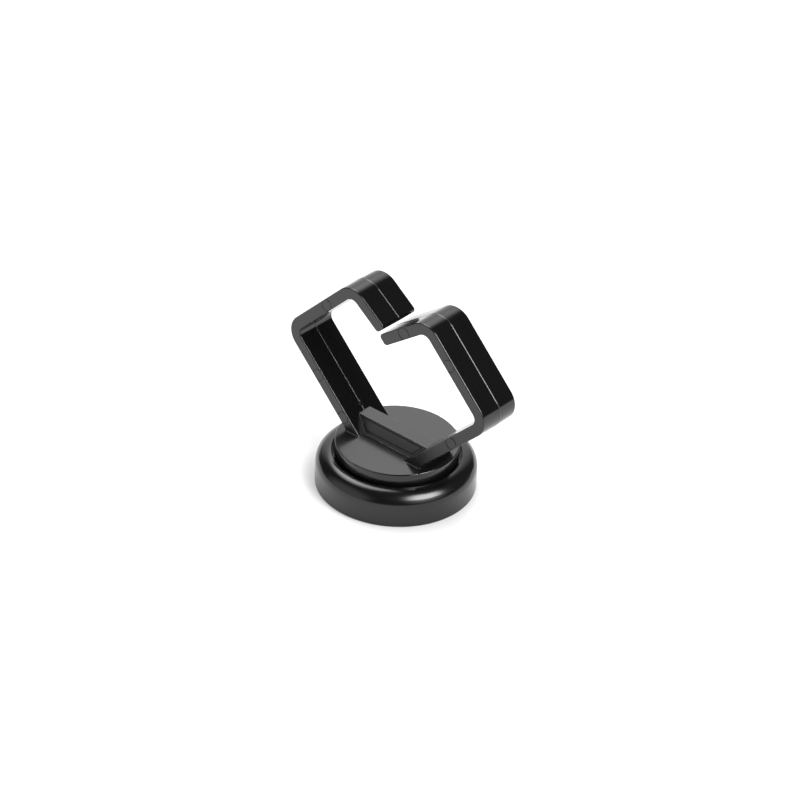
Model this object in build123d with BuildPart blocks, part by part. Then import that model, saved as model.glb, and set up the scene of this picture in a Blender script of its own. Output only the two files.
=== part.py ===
from build123d import *
import math
import os

# Magnetic cable holder: an open diamond-shaped clip that swivels on a round pot magnet.
#
# The origin is on the swivel axis, at the level of the surface that the magnet stands on.
# +Z points up along the swivel axis, +X lies in the plane of the clip's loop and +Y runs
# across the width of its band.

os.makedirs("parts", exist_ok=True)

# ---- driving dimensions, millimetres and degrees ------------------------------------

# steel cup
CUP_RADIUS = 20.25
CUP_BORE_RADIUS = 17.6
CUP_BORE_DEPTH = 5.2
CUP_WALL_TOP = 5.4             # the straight wall ends and the shoulder starts here
CUP_SHOULDER_RADIUS = 3.4
CUP_SHOULDER_TURN = 38
CUP_CROWN_RADIUS = 4.6
CUP_CROWN_TURN = 45
CUP_LIP_RADIUS = 0.25          # inner edge, where the crown drops into the recess
RECESS_FLOOR = 6.9
CUP_HOLE_RADIUS = 2.5
CUP_RIM_CHAMFER = 0.25

# magnet and resin inside the cup
FACE_RECESS = 0.2              # they stay this far behind the cup's rim
MAGNET_RADIUS = 17.1
MAGNET_BORE_RADIUS = 7.0
MAGNET_CHAMFER = 0.4

# steel bush in the middle, the magnet's second pole and the swivel's bearing
BUSH_RADIUS = 6.0
BUSH_POCKET_RADIUS = 4.4
BUSH_POCKET_DEPTH = 3.1
BUSH_CHAMFER = 0.3
RUNNING_CLEARANCE = 0.07

# swivel stack
SHOULDER_RADIUS = 2.0
HEAD_RADIUS = 3.7
HEAD_BOTTOM = 0.35
HEAD_HEIGHT = 1.6
HEAD_EDGE_RADIUS = 0.3
DRIVE_RADIUS = 1.45            # hexagon socket, across its corners
DRIVE_DEPTH = 0.9
THREAD_RADIUS = 1.5
THREAD_LENGTH = 3.2
THREAD_CHAMFER = 0.3
WASHER_HOLE_RADIUS = 2.2
WASHER_RADIUS = 4.1
SPRING_STOCK = 0.3
SPRING_RISE = 0.3
AXIAL_CLEARANCE = 0.05
SLIP_RADIUS = 14.6
SLIP_THICKNESS = 0.4
INSERT_RADIUS = 2.7
INSERT_LENGTH = 3.5
INSERT_GROOVE_DEPTH = 0.3
INSERT_GROOVE_WIDTH = 0.7

# round foot of the moulded clip
DISC_RADIUS = 15.6
DISC_TOP = 12.3
DISC_BOTTOM = RECESS_FLOOR + SLIP_THICKNESS + AXIAL_CLEARANCE
DISC_EDGE_RADIUS = 0.3
DISC_SKIN = 2.4
DISC_SKIRT = 2.0
BOSS_RADIUS = 5.0
CORE_RIB_WIDTH = 1.4
CORE_RIB_COUNT = 6

# band of the clip: a square loop of flat band that stands on one corner
BAND_WIDTH = 11.95
BAND_THICKNESS = 3.24
BAND_DRAFT = 0.8               # from the parting line at mid-width to each edge
BAND_EDGE_RADIUS = 0.3
ARM_CROSSING_HEIGHT = 2.7      # the lower arms' centre-lines would meet the axis here
SIDE_CORNER_REACH = 31.2
TOP_CORNER_REACH = 11.9
SIDE_CORNER_RADIUS = 3.6       # of the centre-line, as the next one
TOP_CORNER_RADIUS = 4.0
FLAP_ANGLE = 36.4              # below horizontal
SHORT_FLAP_END = -1.72
LONG_FLAP_END = -1.83
FLAP_END_TILT = 10             # of the end faces, whose upper corners reach furthest
FLAP_END_RADIUS = 1.0
FOOT_SINK = 1.2                # how deep the arms run into the skin of the disc
FOOT_FILLET = 0.3
FLASH_WIDTH = 0.36             # ridge of the parting line around the band
FLASH_HEIGHT = 0.06
GATE_RADIUS = 0.5              # stub of the gate, on the parting line above the rib
GATE_HEIGHT = 0.25
GATE_LEVEL = 17.4

# rib between the feet of the arms, with sloping faces
RIB_TOP_WIDTH = 4.2
RIB_TOP = 16.1
RIB_FACE_TILT = 23             # from vertical
RIB_EDGE_RADIUS = 0.2
PANEL_TOP_BORDER = 0.4         # outline of a mould insert in each sloping face
PANEL_FOOT_BORDER = 0.8
PANEL_END_BORDER = 0.5
PANEL_CORNER_RADIUS = 0.9
PANEL_LINE_WIDTH = 0.25
PANEL_LINE_DEPTH = 0.25

# outlines that the ejector pins leave on one edge face of the band
PIN_RADIUS = 1.6
PIN_LINE_WIDTH = 0.2
PIN_LINE_DEPTH = 0.12
FOOT_PIN_REACH = 12.9
LOWER_PIN_REACH = 21.6
UPPER_PIN_REACH = 19.6
FLAP_PIN_REACH = 5.2

LEVEL_TOLERANCE = 0.01         # for picking the edges that lie at one level

# ---- derived places -----------------------------------------------------------------

# the arms run at 45 degrees, so height and reach change together along them
side_corner_height = ARM_CROSSING_HEIGHT + SIDE_CORNER_REACH
top_corner_height = side_corner_height + SIDE_CORNER_REACH - TOP_CORNER_REACH
flap_slope = math.tan(math.radians(FLAP_ANGLE))
foot_height = DISC_TOP - FOOT_SINK
foot_reach = foot_height - ARM_CROSSING_HEIGHT
head_top = HEAD_BOTTOM + HEAD_HEIGHT
flat_washer_bottom = head_top + SPRING_STOCK + SPRING_RISE + AXIAL_CLEARANCE
skin_bottom = DISC_TOP - DISC_SKIN
half_width = BAND_WIDTH / 2
arm_half_rise = BAND_THICKNESS / 2 * math.sqrt(2)
arm_inside = ARM_CROSSING_HEIGHT + arm_half_rise
rib_reach = (RIB_TOP - arm_inside + DISC_TOP - ARM_CROSSING_HEIGHT + arm_half_rise) / 2
rib_tilt = math.radians(RIB_FACE_TILT)
rib_root_half_width = RIB_TOP_WIDTH / 2 + (RIB_TOP - skin_bottom) * math.tan(rib_tilt)
rib_face_length = (RIB_TOP - DISC_TOP) / math.cos(rib_tilt)
panel_rise = PANEL_FOOT_BORDER - rib_face_length


def flap_height(reach):
    """Height of a flap's centre-line at a distance from the axis."""
    return top_corner_height - (TOP_CORNER_REACH - reach) * flap_slope


def arm_path(side, end_reach):
    """Centre-line of one half of the loop, from its foot to the tip of its flap."""
    return [
        (side * foot_reach, foot_height),
        (side * SIDE_CORNER_REACH, side_corner_height),
        (side * TOP_CORNER_REACH, top_corner_height),
        (end_reach, flap_height(end_reach * side)),
    ]


def lower_height(reach):
    """Height of a lower arm's centre-line at a distance from the axis."""
    return ARM_CROSSING_HEIGHT + reach


def upper_height(reach):
    """Height of an upper arm's centre-line at a distance from the axis."""
    return top_corner_height + TOP_CORNER_REACH - reach


def panel_reach(slope_place):
    """Half length of the panel at a place on the sloping face, measured up from its top edge."""
    return RIB_TOP + slope_place * math.cos(rib_tilt) - arm_inside - PANEL_END_BORDER


def tilted_end(path, thickness):
    """Wedge to cut off the underside of a flap's tip, and the two corners that this leaves."""
    tip = Vector(*path[-1])
    along = (tip - Vector(*path[-2])).normalized()
    upwards = Vector(-along.Y, along.X) if along.X > 0 else Vector(along.Y, -along.X)
    upper = tip + upwards * (thickness / 2)
    lower = tip - upwards * (thickness / 2)
    cut = lower - along * (thickness * math.tan(math.radians(FLAP_END_TILT)))
    return [upper, lower, cut]


def trace_arm(path, thickness):
    """Section of one half of the loop, with the end of its flap tilted and rounded."""
    with BuildSketch(Plane.XZ) as section:
        with BuildLine():
            FilletPolyline(*path, radius=corner_radii)
        trace(line_width=thickness)
        wedge = tilted_end(path, thickness)
        Polygon(*[(corner.X, corner.Y) for corner in wedge], align=None, mode=Mode.SUBTRACT)
        corners = [section.vertices().sort_by_distance(wedge[place])[0] for place in (0, 2)]
        fillet(corners, FLAP_END_RADIUS)
    return section.sketch


short_path = arm_path(-1, SHORT_FLAP_END)
long_path = arm_path(1, LONG_FLAP_END)
corner_radii = [SIDE_CORNER_RADIUS, TOP_CORNER_RADIUS]
pin_places = [(FLAP_PIN_REACH, flap_height(FLAP_PIN_REACH))]
for side in (-1, 1):
    pin_places.append((side * FOOT_PIN_REACH, lower_height(FOOT_PIN_REACH)))
    pin_places.append((side * LOWER_PIN_REACH, lower_height(LOWER_PIN_REACH)))
    pin_places.append((side * UPPER_PIN_REACH, upper_height(UPPER_PIN_REACH)))

# ---- magnet base --------------------------------------------------------------------

with BuildPart() as magnet_cup:
    with BuildSketch(Plane.XZ):
        with BuildLine():
            wall = Line((CUP_RADIUS, 0), (CUP_RADIUS, CUP_WALL_TOP))
            shoulder = JernArc(wall @ 1, (0, 1), CUP_SHOULDER_RADIUS, CUP_SHOULDER_TURN)
            crown = JernArc(shoulder @ 1, shoulder % 1, CUP_CROWN_RADIUS, CUP_CROWN_TURN)
            lip_turn = 180 - CUP_SHOULDER_TURN - CUP_CROWN_TURN
            lip = JernArc(crown @ 1, crown % 1, CUP_LIP_RADIUS, lip_turn)
            Polyline(
                lip @ 1,
                ((lip @ 1).X, RECESS_FLOOR),
                (CUP_HOLE_RADIUS, RECESS_FLOOR),
                (CUP_HOLE_RADIUS, CUP_BORE_DEPTH),
                (CUP_BORE_RADIUS, CUP_BORE_DEPTH),
                (CUP_BORE_RADIUS, 0),
                (CUP_RADIUS, 0),
            )
        make_face()
    revolve(axis=Axis.Z)
    chamfer(magnet_cup.edges().group_by(Axis.Z)[0].sort_by(SortBy.RADIUS)[-1], CUP_RIM_CHAMFER)
magnet_cup.part.label = "magnet_cup"

with BuildPart() as ring_magnet:
    with BuildSketch(Plane.XY.offset(FACE_RECESS)):
        Circle(MAGNET_RADIUS)
        Circle(MAGNET_BORE_RADIUS, mode=Mode.SUBTRACT)
    extrude(amount=CUP_BORE_DEPTH - FACE_RECESS)
    chamfer(ring_magnet.edges().group_by(Axis.Z)[0], MAGNET_CHAMFER)
ring_magnet.part.label = "ring_magnet"

with BuildPart() as outer_resin:
    with BuildSketch(Plane.XY.offset(FACE_RECESS)):
        Circle(CUP_BORE_RADIUS)
        Circle(MAGNET_RADIUS, mode=Mode.SUBTRACT)
    extrude(amount=CUP_BORE_DEPTH - FACE_RECESS)
outer_resin.part.label = "outer_resin"

with BuildPart() as inner_resin:
    with BuildSketch(Plane.XY.offset(FACE_RECESS)):
        Circle(MAGNET_BORE_RADIUS)
        Circle(BUSH_RADIUS, mode=Mode.SUBTRACT)
    extrude(amount=CUP_BORE_DEPTH - FACE_RECESS)
inner_resin.part.label = "inner_resin"

with BuildPart() as pole_bush:
    with BuildSketch():
        Circle(BUSH_RADIUS)
        Circle(BUSH_POCKET_RADIUS, mode=Mode.SUBTRACT)
    extrude(amount=BUSH_POCKET_DEPTH)
    with BuildSketch(Plane.XY.offset(BUSH_POCKET_DEPTH)):
        Circle(BUSH_RADIUS)
        Circle(SHOULDER_RADIUS + RUNNING_CLEARANCE, mode=Mode.SUBTRACT)
    extrude(amount=CUP_BORE_DEPTH - BUSH_POCKET_DEPTH)
    chamfer(pole_bush.edges().group_by(Axis.Z)[0].sort_by(SortBy.RADIUS)[0], BUSH_CHAMFER)
pole_bush.part.label = "pole_bush"

# ---- swivel stack -------------------------------------------------------------------

with BuildPart() as pivot_screw:
    with BuildSketch(Plane.XY.offset(HEAD_BOTTOM)):
        Circle(HEAD_RADIUS)
    extrude(amount=HEAD_HEIGHT)
    fillet(pivot_screw.edges().group_by(Axis.Z)[0], HEAD_EDGE_RADIUS)
    with BuildSketch(Plane.XY.offset(head_top)):
        Circle(SHOULDER_RADIUS)
    extrude(amount=DISC_BOTTOM - head_top)
    with BuildSketch(Plane.XY.offset(DISC_BOTTOM)):
        Circle(THREAD_RADIUS)
    extrude(amount=THREAD_LENGTH)
    chamfer(pivot_screw.edges().group_by(Axis.Z)[-1], THREAD_CHAMFER)
    with BuildSketch(Plane.XY.offset(HEAD_BOTTOM)):
        RegularPolygon(DRIVE_RADIUS, 6)
    extrude(amount=DRIVE_DEPTH, mode=Mode.SUBTRACT)
pivot_screw.part.label = "pivot_screw"

with BuildPart() as spring_washer:
    with BuildSketch(Plane.XZ):
        with BuildLine():
            Polyline(
                (WASHER_HOLE_RADIUS, head_top + SPRING_RISE),
                (WASHER_RADIUS, head_top),
                (WASHER_RADIUS, head_top + SPRING_STOCK),
                (WASHER_HOLE_RADIUS, head_top + SPRING_RISE + SPRING_STOCK),
                close=True,
            )
        make_face()
    revolve(axis=Axis.Z)
spring_washer.part.label = "spring_washer"

with BuildPart() as flat_washer:
    with BuildSketch(Plane.XY.offset(flat_washer_bottom)):
        Circle(WASHER_RADIUS)
        Circle(WASHER_HOLE_RADIUS, mode=Mode.SUBTRACT)
    extrude(amount=BUSH_POCKET_DEPTH - flat_washer_bottom)
flat_washer.part.label = "flat_washer"

with BuildPart() as slip_washer:
    with BuildSketch(Plane.XY.offset(RECESS_FLOOR)):
        Circle(SLIP_RADIUS)
        Circle(CUP_HOLE_RADIUS, mode=Mode.SUBTRACT)
    extrude(amount=SLIP_THICKNESS)
slip_washer.part.label = "slip_washer"

with BuildPart() as threaded_insert:
    with BuildSketch(Plane.XY.offset(DISC_BOTTOM)):
        Circle(INSERT_RADIUS)
        Circle(THREAD_RADIUS, mode=Mode.SUBTRACT)
    extrude(amount=INSERT_LENGTH)
    with BuildSketch(Plane.XY.offset(DISC_BOTTOM + (INSERT_LENGTH - INSERT_GROOVE_WIDTH) / 2)):
        Circle(INSERT_RADIUS)
        Circle(INSERT_RADIUS - INSERT_GROOVE_DEPTH, mode=Mode.SUBTRACT)
    extrude(amount=INSERT_GROOVE_WIDTH, mode=Mode.SUBTRACT)
threaded_insert.part.label = "threaded_insert"

# ---- moulded clip: disc, rib and open loop in one piece ------------------------------

with BuildPart() as cable_clip:
    # band of the loop, thickest at its parting line
    for path in (short_path, long_path):
        extrude(trace_arm(path, BAND_THICKNESS), amount=half_width, both=True, taper=BAND_DRAFT)
    for edge_side in (-1, 1):
        rim_level = edge_side * half_width
        rim = cable_clip.edges().filter_by_position(
            Axis.Y, rim_level - LEVEL_TOLERANCE, rim_level + LEVEL_TOLERANCE
        )
        fillet(rim, BAND_EDGE_RADIUS)

    # disc, cored from below so that its walls stay even
    with BuildSketch(Plane.XZ) as disc_section:
        with BuildLine():
            Polyline(
                (0, DISC_BOTTOM),
                (DISC_RADIUS, DISC_BOTTOM),
                (DISC_RADIUS, DISC_TOP),
                (0, DISC_TOP),
                close=True,
            )
        make_face()
        fillet(disc_section.vertices().group_by(Axis.Y)[-1].sort_by(Axis.X)[-1], DISC_EDGE_RADIUS)
    revolve(axis=Axis.Z)

    # rib that ties the feet of the arms together
    with BuildSketch(Plane.YZ):
        Polygon(
            (-rib_root_half_width, skin_bottom),
            (rib_root_half_width, skin_bottom),
            (RIB_TOP_WIDTH / 2, RIB_TOP),
            (-RIB_TOP_WIDTH / 2, RIB_TOP),
            align=None,
        )
    extrude(amount=rib_reach, both=True)

    # fillets where the arms and the rib stand on the disc
    foot_edges = cable_clip.edges().filter_by_position(
        Axis.Z, DISC_TOP - LEVEL_TOLERANCE, DISC_TOP + LEVEL_TOLERANCE
    )
    fillet(foot_edges.filter_by(GeomType.CIRCLE, reverse=True), FOOT_FILLET)

    # long top edges of the rib, and the outline of a mould insert in each of its faces
    rib_top_edges = cable_clip.edges().filter_by_position(
        Axis.Z, RIB_TOP - LEVEL_TOLERANCE, RIB_TOP + LEVEL_TOLERANCE
    )
    fillet(rib_top_edges.sort_by(Edge.length)[-2:], RIB_EDGE_RADIUS)
    for face_side in (-1, 1):
        face_plane = Plane(
            origin=(0, face_side * RIB_TOP_WIDTH / 2, RIB_TOP),
            x_dir=(-face_side, 0, 0),
            z_dir=(0, face_side * math.cos(rib_tilt), math.sin(rib_tilt)),
        )
        with BuildSketch(face_plane) as panel:
            Polygon(
                (-panel_reach(panel_rise), panel_rise),
                (panel_reach(panel_rise), panel_rise),
                (panel_reach(-PANEL_TOP_BORDER), -PANEL_TOP_BORDER),
                (-panel_reach(-PANEL_TOP_BORDER), -PANEL_TOP_BORDER),
                align=None,
            )
            fillet(panel.vertices().group_by(Axis.Y)[0], PANEL_CORNER_RADIUS)
            offset(amount=-PANEL_LINE_WIDTH, mode=Mode.SUBTRACT)
        extrude(amount=-PANEL_LINE_DEPTH, mode=Mode.SUBTRACT)

    # ridge that the parting line leaves around the band
    flash_slope = math.degrees(math.atan2(FLASH_HEIGHT, FLASH_WIDTH / 2))
    for path in (short_path, long_path):
        crest = trace_arm(path, BAND_THICKNESS + 2 * FLASH_HEIGHT)
        extrude(crest, amount=FLASH_WIDTH / 2, both=True, taper=flash_slope)

    # stub of the gate on the inner face of the left arm
    gate_plane = Plane(origin=(arm_inside - GATE_LEVEL, 0, GATE_LEVEL), x_dir=(0, 1, 0), z_dir=(1, 0, 1))
    with BuildSketch(gate_plane):
        Circle(GATE_RADIUS)
    extrude(amount=GATE_HEIGHT)
    with BuildSketch(gate_plane):
        Circle(GATE_RADIUS)
    extrude(amount=-BAND_THICKNESS / 2)

    # cores of the disc, with radial ribs between the boss and the skirt
    with BuildSketch(Plane.XY.offset(DISC_BOTTOM)):
        Circle(DISC_RADIUS - DISC_SKIRT)
        with PolarLocations(0, CORE_RIB_COUNT // 2, angular_range=180):
            Rectangle(2 * DISC_RADIUS, CORE_RIB_WIDTH, mode=Mode.SUBTRACT)
        Circle(BOSS_RADIUS, mode=Mode.SUBTRACT)
    extrude(amount=skin_bottom - DISC_BOTTOM, mode=Mode.SUBTRACT)

    # seat of the threaded insert, which the moulding grips
    add(threaded_insert.part, mode=Mode.SUBTRACT)
    with BuildSketch(Plane.XY.offset(DISC_BOTTOM)):
        Circle(THREAD_RADIUS)
    extrude(amount=INSERT_LENGTH, mode=Mode.SUBTRACT)

    # ejector-pin marks on the front edge of the band
    with BuildSketch(Plane.XZ.offset(half_width)):
        with Locations(*pin_places):
            Circle(PIN_RADIUS + PIN_LINE_WIDTH / 2)
            Circle(PIN_RADIUS - PIN_LINE_WIDTH / 2, mode=Mode.SUBTRACT)
    extrude(amount=-PIN_LINE_DEPTH, mode=Mode.SUBTRACT)
cable_clip.part.label = "cable_clip"

# ---- write every piece --------------------------------------------------------------

for piece in (
    magnet_cup,
    ring_magnet,
    outer_resin,
    inner_resin,
    pole_bush,
    pivot_screw,
    spring_washer,
    flat_washer,
    slip_washer,
    threaded_insert,
    cable_clip,
):
    export_step(piece.part, f"parts/{piece.part.label}.step")
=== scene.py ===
import math

import bpy
from mathutils import Matrix, Vector

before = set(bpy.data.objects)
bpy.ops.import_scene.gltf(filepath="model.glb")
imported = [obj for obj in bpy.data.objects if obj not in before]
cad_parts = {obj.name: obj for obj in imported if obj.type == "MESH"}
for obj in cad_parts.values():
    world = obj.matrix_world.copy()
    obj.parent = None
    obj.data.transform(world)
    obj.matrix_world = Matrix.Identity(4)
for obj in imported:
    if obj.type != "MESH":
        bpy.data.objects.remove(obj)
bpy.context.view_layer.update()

# ---- the camera, and the directions of the studio around it --------------------------

CAMERA_AZIMUTH = math.radians(39.49)
CAMERA_ELEVATION = math.radians(33.25)
CAMERA_ROLL = math.radians(2.85)
CAMERA_DISTANCE = 0.755
AIM_RIGHT = 0.00114
AIM_UP = 0.0201
LENS = 135.7
SENSOR = 36.0
CLIP_END = 20

# ---- background and floor: brightness, and lengths in metres ----------------------------

AMBIENT = 0.06
BACKGROUND_SEEN = 1.0
FLOOR_REACH = 3.0
FLOOR_GREY = 0.42
FLOOR_GLOW = 0.56
# painted contact shadow on the floor: its glow right under the object, and how far the shade reaches
FLOOR_GLOW_IN_PAINTED_SHADOW = 0.26
CONTACT_REACH = 0.008

# ---- heights on the moulding, in metres ------------------------------------------------

DISC_TOP = 0.0123
RIB_TOP = 0.0161

level_right = Vector((math.cos(CAMERA_AZIMUTH), math.sin(CAMERA_AZIMUTH), 0))
level_forward = Vector((-math.sin(CAMERA_AZIMUTH), math.cos(CAMERA_AZIMUTH), 0))


def add_camera():
    """The camera, placed around the point of the object that it looks at."""
    back = Vector((0, 0, math.sin(CAMERA_ELEVATION))) - level_forward * math.cos(CAMERA_ELEVATION)
    level_up = back.cross(level_right)
    right = level_right * math.cos(CAMERA_ROLL) + level_up * math.sin(CAMERA_ROLL)
    up = level_up * math.cos(CAMERA_ROLL) - level_right * math.sin(CAMERA_ROLL)
    place = right * AIM_RIGHT + up * AIM_UP + back * CAMERA_DISTANCE
    data = bpy.data.cameras.new("studio_camera")
    data.lens = LENS
    data.sensor_width = SENSOR
    data.sensor_height = SENSOR
    data.clip_end = CLIP_END
    camera = bpy.data.objects.new("studio_camera", data)
    bpy.context.collection.objects.link(camera)
    camera.matrix_world = Matrix.Translation(place) @ Matrix((right, up, back)).transposed().to_4x4()
    bpy.context.scene.camera = camera


def studio_direction(turn, elevation):
    """Unit vector at a turn to the right of straight ahead, and at a height, in degrees."""
    turn = math.radians(turn)
    elevation = math.radians(elevation)
    level = level_forward * math.cos(turn) + level_right * math.sin(turn)
    return level * math.cos(elevation) + Vector((0, 0, math.sin(elevation)))


# ---- node helpers ---------------------------------------------------------------------


def add(tree, kind, settings=None, **inputs):
    """Adds a node; an input is given a value or the socket that feeds it."""
    made = tree.nodes.new(kind)
    for name, value in (settings or {}).items():
        setattr(made, name, value)
    for name, value in inputs.items():
        socket = made.inputs[name]
        if isinstance(value, bpy.types.NodeSocket):
            tree.links.new(value, socket)
        else:
            socket.default_value = value
    return made


def calculate(tree, operation, first, second=0.0):
    """Result of a maths node on two values or sockets."""
    made = tree.nodes.new("ShaderNodeMath")
    made.operation = operation
    for slot, value in enumerate((first, second)):
        if isinstance(value, bpy.types.NodeSocket):
            tree.links.new(value, made.inputs[slot])
        else:
            made.inputs[slot].default_value = value
    return made.outputs[0]


def ramp(tree, value, low, high, out_low=0.0, out_high=1.0):
    """Smooth step from one value to another while the input crosses a range."""
    made = add(tree, "ShaderNodeMapRange", {"interpolation_type": "SMOOTHSTEP"})
    for name, number in (("From Min", low), ("From Max", high), ("To Min", out_low), ("To Max", out_high)):
        made.inputs[name].default_value = number
    tree.links.new(value, made.inputs["Value"])
    return made.outputs["Result"]


# ---- studio ---------------------------------------------------------------------------


def patch(tree, ray, centre, inner, outer, radiance):
    """Soft round patch of light on the studio's walls, in degrees around its centre."""
    aligned = add(tree, "ShaderNodeVectorMath", {"operation": "DOT_PRODUCT"})
    tree.links.new(ray, aligned.inputs[0])
    aligned.inputs[1].default_value = centre
    return ramp(
        tree,
        aligned.outputs["Value"],
        math.cos(math.radians(outer)),
        math.cos(math.radians(inner)),
        out_high=radiance,
    )


def add_studio():
    """Soft lights that are only seen as reflections, before a background seen as white."""
    world = bpy.data.worlds.new("studio")
    bpy.context.scene.world = world
    world.use_nodes = True
    tree = world.node_tree
    tree.nodes.clear()
    ray = add(tree, "ShaderNodeTexCoord").outputs["Generated"]
    key = patch(tree, ray, studio_direction(129, 47), 8, 23, 14.6)
    key_surround = patch(tree, ray, studio_direction(132, 34), 12, 34, 1.3)
    backdrop = patch(tree, ray, studio_direction(-2, 22), 15, 43, 1.04)
    backdrop_head = patch(tree, ray, studio_direction(-8, 50), 8, 28, 0.9)
    upper_left = patch(tree, ray, studio_direction(-22, 60), 8, 27, 6.5)
    left_wall = patch(tree, ray, studio_direction(-112, 16), 15, 42, 0.8)
    light = calculate(tree, "ADD", key, AMBIENT)
    for part in (key_surround, backdrop, backdrop_head, upper_left, left_wall):
        light = calculate(tree, "ADD", light, part)
    seen = add(tree, "ShaderNodeLightPath").outputs["Is Camera Ray"]
    shade = add(tree, "ShaderNodeMix", {"data_type": "FLOAT"})
    tree.links.new(seen, shade.inputs[0])
    tree.links.new(light, shade.inputs[2])
    shade.inputs[3].default_value = BACKGROUND_SEEN
    background = add(tree, "ShaderNodeBackground", Color=(1, 1, 1, 1), Strength=shade.outputs[0])
    output = add(tree, "ShaderNodeOutputWorld")
    tree.links.new(background.outputs[0], output.inputs["Surface"])


def add_floor():
    """Glowing white floor, with a painted contact shadow: its glow is turned down where the object stands
    close above it.
    """
    mesh = bpy.data.meshes.new("studio_floor")
    corners = []
    for east, north in ((-1, -1), (1, -1), (1, 1), (-1, 1)):
        corners.append((east * FLOOR_REACH, north * FLOOR_REACH, 0))
    mesh.from_pydata(corners, [], [(0, 1, 2, 3)])
    floor = bpy.data.objects.new("studio_floor", mesh)
    bpy.context.collection.objects.link(floor)
    material = bpy.data.materials.new("pale_floor")
    material.use_nodes = True
    tree = material.node_tree
    shader = tree.nodes["Principled BSDF"]
    shader.inputs["Base Color"].default_value = (FLOOR_GREY, FLOOR_GREY, FLOOR_GREY, 1)
    shader.inputs["Emission Color"].default_value = (1, 1, 1, 1)
    # Painted contact shadow: ambient occlusion dims the floor's glow close to the object.
    open_sky = add(tree, "ShaderNodeAmbientOcclusion", {"samples": 8}, Distance=CONTACT_REACH)
    glow_with_painted_shadow = ramp(tree, open_sky.outputs["AO"], 0.45, 1.0, FLOOR_GLOW_IN_PAINTED_SHADOW, FLOOR_GLOW)
    tree.links.new(glow_with_painted_shadow, shader.inputs["Emission Strength"])
    shader.inputs["Roughness"].default_value = 0.9
    shader.inputs["Specular IOR Level"].default_value = 0.0
    mesh.materials.append(material)


def set_view():
    """Plain view transform, so that white stays white."""
    view = bpy.context.scene.view_settings
    view.view_transform = "Standard"
    view.look = "None"


# ---- materials ------------------------------------------------------------------------


def start_material(name):
    """Empty material, its node tree and the object coordinates."""
    material = bpy.data.materials.new(name)
    material.use_nodes = True
    tree = material.node_tree
    tree.nodes.clear()
    return material, tree, add(tree, "ShaderNodeTexCoord").outputs["Object"]


def noise(tree, where, scale, detail=4.0, roughness=0.5):
    """Value of a noise texture whose scale is in features per metre."""
    made = add(tree, "ShaderNodeTexNoise", Scale=scale, Detail=detail, Roughness=roughness)
    tree.links.new(where, made.inputs["Vector"])
    return made.outputs["Fac"]


def stretched(tree, where, factors):
    """Coordinates stretched so that a texture on them runs along one direction."""
    made = add(tree, "ShaderNodeMapping", Scale=factors)
    tree.links.new(where, made.inputs["Vector"])
    return made.outputs["Vector"]


def bump(tree, height, distance, normal=None):
    """Normal after a height in units of a distance in metres."""
    made = add(tree, "ShaderNodeBump", Height=height, Distance=distance)
    if normal is not None:
        tree.links.new(normal, made.inputs["Normal"])
    return made.outputs["Normal"]


def blend_colours(tree, amount, first, second):
    """Colour between two colours."""
    made = add(tree, "ShaderNodeMix", {"data_type": "RGBA"})
    if isinstance(amount, bpy.types.NodeSocket):
        tree.links.new(amount, made.inputs[0])
    else:
        made.inputs[0].default_value = amount
    for slot, value in ((6, first), (7, second)):
        if isinstance(value, bpy.types.NodeSocket):
            tree.links.new(value, made.inputs[slot])
        else:
            made.inputs[slot].default_value = (*value, 1)
    return made.outputs[2]


def end_material(material, tree, **inputs):
    """Principled surface for the material."""
    shader = add(tree, "ShaderNodeBsdfPrincipled", **inputs)
    output = add(tree, "ShaderNodeOutputMaterial")
    tree.links.new(shader.outputs[0], output.inputs["Surface"])
    return material


def split(tree, vector):
    """X, Y and Z of a vector as sockets."""
    made = add(tree, "ShaderNodeSeparateXYZ")
    tree.links.new(vector, made.inputs[0])
    return made.outputs["X"], made.outputs["Y"], made.outputs["Z"]


def axis_distance(tree, where):
    """Distance from the swivel axis, in metres."""
    flat = stretched(tree, where, (1, 1, 0))
    made = add(tree, "ShaderNodeVectorMath", {"operation": "LENGTH"})
    tree.links.new(flat, made.inputs[0])
    return made.outputs["Value"]


def rings(tree, distance, scale, detail=3.0):
    """Turned marks: noise that changes only with the distance from the axis."""
    made = add(tree, "ShaderNodeTexNoise", {"noise_dimensions": "1D"}, Scale=scale, Detail=detail)
    tree.links.new(distance, made.inputs["W"])
    return made.outputs["Fac"]


def specks(tree, where, scale, size):
    """Small round specks, 1 inside a speck and 0 between them."""
    made = add(tree, "ShaderNodeTexVoronoi", Scale=scale)
    tree.links.new(where, made.inputs["Vector"])
    return ramp(tree, made.outputs["Distance"], size * 0.5, size, 1.0, 0.0)


def painted_steel():
    """Black stoving enamel: orange peel, dust nibs, and wear on the rim that it stands on."""
    material, tree, where = start_material("black_enamel")
    height = split(tree, where)[2]
    cloud = noise(tree, where, 90, 3)
    peel = noise(tree, where, 420, 1)
    fine = noise(tree, where, 1700, 2)
    nibs = calculate(tree, "MULTIPLY", specks(tree, where, 260, 0.06), ramp(tree, cloud, 0.5, 0.6))
    wear = calculate(
        tree,
        "MULTIPLY",
        ramp(tree, height, 0.0001, 0.0004, 1.0, 0.0),
        ramp(tree, noise(tree, where, 900, 4), 0.48, 0.6),
    )
    paint = blend_colours(tree, cloud, (0.0026, 0.0026, 0.0027), (0.0042, 0.0042, 0.0043))
    colour = blend_colours(tree, wear, paint, (0.035, 0.034, 0.033))
    roughness = ramp(tree, cloud, 0.3, 0.7, 0.15, 0.2)
    roughness = calculate(tree, "ADD", roughness, calculate(tree, "MULTIPLY", wear, 0.2))
    relief = bump(tree, peel, 0.000005)
    relief = bump(tree, fine, 0.0000008, relief)
    relief = bump(tree, nibs, 0.000012, relief)
    return end_material(
        material, tree, **{"Base Color": colour, "Roughness": roughness, "Normal": relief, "IOR": 1.5}
    )


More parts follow.
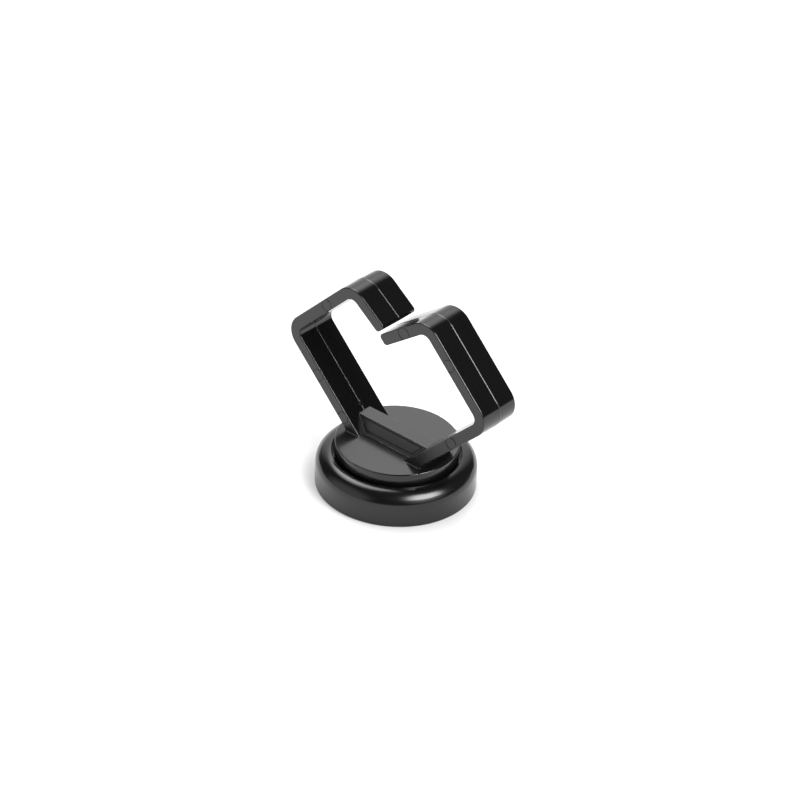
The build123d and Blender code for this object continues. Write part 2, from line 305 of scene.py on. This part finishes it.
def black_nylon():
    """Moulded nylon: polished broad faces, satin edge faces and foot, rounded and worn edges."""
    material, tree, where = start_material("moulded_nylon")
    normal = add(tree, "ShaderNodeTexCoord").outputs["Normal"]
    across = calculate(tree, "ABSOLUTE", split(tree, normal)[1])
    upright = calculate(tree, "ABSOLUTE", split(tree, normal)[2])
    height = split(tree, where)[2]
    edge_face = ramp(tree, across, 0.85, 0.93)
    above_disc = ramp(tree, height, DISC_TOP - 0.0001, DISC_TOP + 0.0001)
    edge_face = calculate(tree, "MULTIPLY", edge_face, above_disc)
    low = ramp(tree, height, RIB_TOP + 0.0003, RIB_TOP + 0.0011, 1.0, 0.0)
    foot = calculate(tree, "MULTIPLY", low, ramp(tree, upright, 0.8, 0.95))
    satin = calculate(tree, "MAXIMUM", edge_face, foot)
    corner = calculate(
        tree, "MULTIPLY", ramp(tree, across, 0.15, 0.4), ramp(tree, across, 0.8, 0.95, 1.0, 0.0)
    )
    corner = calculate(tree, "MULTIPLY", corner, ramp(tree, height, DISC_TOP + 0.0001, DISC_TOP + 0.0004))
    cloud = noise(tree, where, 120, 3)
    grain = noise(tree, where, 2600, 3, 0.6)
    flow = noise(tree, stretched(tree, where, (1, 0.35, 1)), 240, 2)
    scuff = ramp(tree, noise(tree, stretched(tree, where, (1, 4, 1)), 800, 4), 0.6, 0.72)
    wear = calculate(tree, "MULTIPLY", corner, ramp(tree, noise(tree, where, 700, 4), 0.4, 0.65))
    body = blend_colours(tree, cloud, (0.0024, 0.0024, 0.0026), (0.004, 0.004, 0.0043))
    matt = blend_colours(tree, satin, body, (0.0075, 0.0075, 0.0079))
    colour = blend_colours(tree, calculate(tree, "MULTIPLY", wear, 0.5), matt, (0.03, 0.03, 0.031))
    roughness = ramp(tree, edge_face, 0.0, 1.0, 0.13, 0.36)
    roughness = calculate(tree, "ADD", roughness, calculate(tree, "MULTIPLY", foot, 0.07))
    roughness = calculate(tree, "ADD", roughness, calculate(tree, "MULTIPLY", wear, 0.12))
    roughness = calculate(tree, "ADD", roughness, calculate(tree, "MULTIPLY", scuff, 0.05))
    rounded = add(tree, "ShaderNodeBevel", {"samples": 6}, Radius=0.00018).outputs["Normal"]
    relief = bump(tree, flow, 0.000006, rounded)
    relief = bump(tree, calculate(tree, "MULTIPLY", grain, satin), 0.000003, relief)
    return end_material(
        material, tree, **{"Base Color": colour, "Roughness": roughness, "Normal": relief, "IOR": 1.53}
    )


def turned_metal(name, dark, light, roughness_low, roughness_high, ring_scale):
    """Plated or plain metal with turned marks around the axis, clouds and small stains."""
    material, tree, where = start_material(name)
    distance = axis_distance(tree, where)
    marks = rings(tree, distance, ring_scale)
    cloud = noise(tree, where, 450, 4)
    stain = ramp(tree, noise(tree, where, 1400, 4), 0.58, 0.7)
    colour = blend_colours(tree, cloud, dark, light)
    stained = tuple(part * 0.55 for part in dark)
    colour = blend_colours(tree, calculate(tree, "MULTIPLY", stain, 0.6), colour, stained)
    roughness = ramp(tree, cloud, 0.3, 0.7, roughness_low, roughness_high)
    roughness = calculate(tree, "ADD", roughness, calculate(tree, "MULTIPLY", stain, 0.12))
    relief = bump(tree, marks, 0.00001)
    relief = bump(tree, noise(tree, where, 6000, 2), 0.000001, relief)
    return material, tree, {
        "Base Color": colour,
        "Metallic": 1.0,
        "Roughness": roughness,
        "Normal": relief,
    }


def plated(name, dark, light, roughness_low, roughness_high, ring_scale):
    """Finished turned metal."""
    made = turned_metal(name, dark, light, roughness_low, roughness_high, ring_scale)
    return end_material(made[0], made[1], **made[2])


def ground_ferrite():
    """Sintered ferrite: dark grey, fine pores with painted shade in them, and the straight marks of the
    grinding wheel.
    """
    material, tree, where = start_material("ferrite")
    grind = noise(tree, stretched(tree, where, (0.04, 1, 0.3)), 5200, 3)
    pores = specks(tree, where, 2400, 0.22)
    cloud = noise(tree, where, 260, 4)
    colour = blend_colours(tree, cloud, (0.028, 0.028, 0.031), (0.052, 0.05, 0.05))
    # Painted shade: the pores are coloured darker as well as sunk by the bump below.
    colour = blend_colours(tree, pores, colour, (0.01, 0.01, 0.011))
    roughness = ramp(tree, grind, 0.3, 0.7, 0.42, 0.62)
    relief = bump(tree, grind, 0.000006)
    relief = bump(tree, calculate(tree, "SUBTRACT", 1.0, pores), 0.00002, relief)
    return end_material(material, tree, **{"Base Color": colour, "Roughness": roughness, "Normal": relief})


def poured_resin():
    """Black potting resin: glossy, slightly wavy, with a few pricked bubbles."""
    material, tree, where = start_material("potting_resin")
    wave = noise(tree, where, 380, 2)
    bubbles = specks(tree, where, 900, 0.16)
    colour = blend_colours(tree, wave, (0.008, 0.008, 0.009), (0.015, 0.014, 0.013))
    roughness = ramp(tree, noise(tree, where, 700, 3), 0.3, 0.7, 0.14, 0.3)
    relief = bump(tree, wave, 0.00006)
    relief = bump(tree, calculate(tree, "SUBTRACT", 1.0, bubbles), 0.00004, relief)
    return end_material(material, tree, **{"Base Color": colour, "Roughness": roughness, "Normal": relief})


def turned_acetal():
    """White acetal sheet with rubbing marks around the axis and a little grey dust."""
    material, tree, where = start_material("white_acetal")
    distance = axis_distance(tree, where)
    rubbed = rings(tree, distance, 2600)
    dust = ramp(tree, noise(tree, where, 320, 5), 0.5, 0.75)
    colour = blend_colours(tree, rubbed, (0.72, 0.72, 0.69), (0.8, 0.8, 0.78))
    colour = blend_colours(tree, calculate(tree, "MULTIPLY", dust, 0.5), colour, (0.4, 0.4, 0.38))
    roughness = ramp(tree, rubbed, 0.3, 0.7, 0.3, 0.48)
    relief = bump(tree, rubbed, 0.000005)
    return end_material(material, tree, **{"Base Color": colour, "Roughness": roughness, "Normal": relief})


def knurled_brass():
    """Brass of the insert: crossed knurling around its outside, tarnish in the clouds."""
    dark, light = (0.46, 0.31, 0.12), (0.74, 0.55, 0.26)
    material, tree, sockets = turned_metal("knurled_brass", dark, light, 0.24, 0.42, 5200)
    where = add(tree, "ShaderNodeTexCoord").outputs["Object"]
    east, north, height = split(tree, where)
    angle = calculate(tree, "ARCTAN2", north, east)
    climb = calculate(tree, "MULTIPLY", height, 14000)
    turns = calculate(tree, "MULTIPLY", angle, 36)
    rising = calculate(tree, "SINE", calculate(tree, "ADD", turns, climb))
    falling = calculate(tree, "SINE", calculate(tree, "SUBTRACT", turns, climb))
    knurl = calculate(tree, "MAXIMUM", rising, falling)
    outside = ramp(tree, axis_distance(tree, where), 0.0025, 0.0026)
    relief = bump(tree, calculate(tree, "MULTIPLY", knurl, outside), 0.00005, sockets["Normal"])
    sockets["Normal"] = relief
    return end_material(material, tree, **sockets)


def dress(node, material):
    """Gives a node of the frame its finish."""
    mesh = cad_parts[node].data
    mesh.materials.clear()
    mesh.materials.append(material)


add_camera()
add_studio()
add_floor()
set_view()
dress("magnet_cup", painted_steel())
dress("cable_clip", black_nylon())
dress("ring_magnet", ground_ferrite())
resin = poured_resin()
dress("outer_resin", resin)
dress("inner_resin", resin)
zinc = plated("zinc_plate", (0.5, 0.5, 0.51), (0.68, 0.68, 0.66), 0.22, 0.38, 4200)
dress("pole_bush", zinc)
dress("pivot_screw", zinc)
dress("flat_washer", zinc)
dress("spring_washer", plated("spring_steel", (0.16, 0.16, 0.18), (0.3, 0.29, 0.28), 0.28, 0.44, 6000))
dress("slip_washer", turned_acetal())
dress("threaded_insert", knurled_brass())
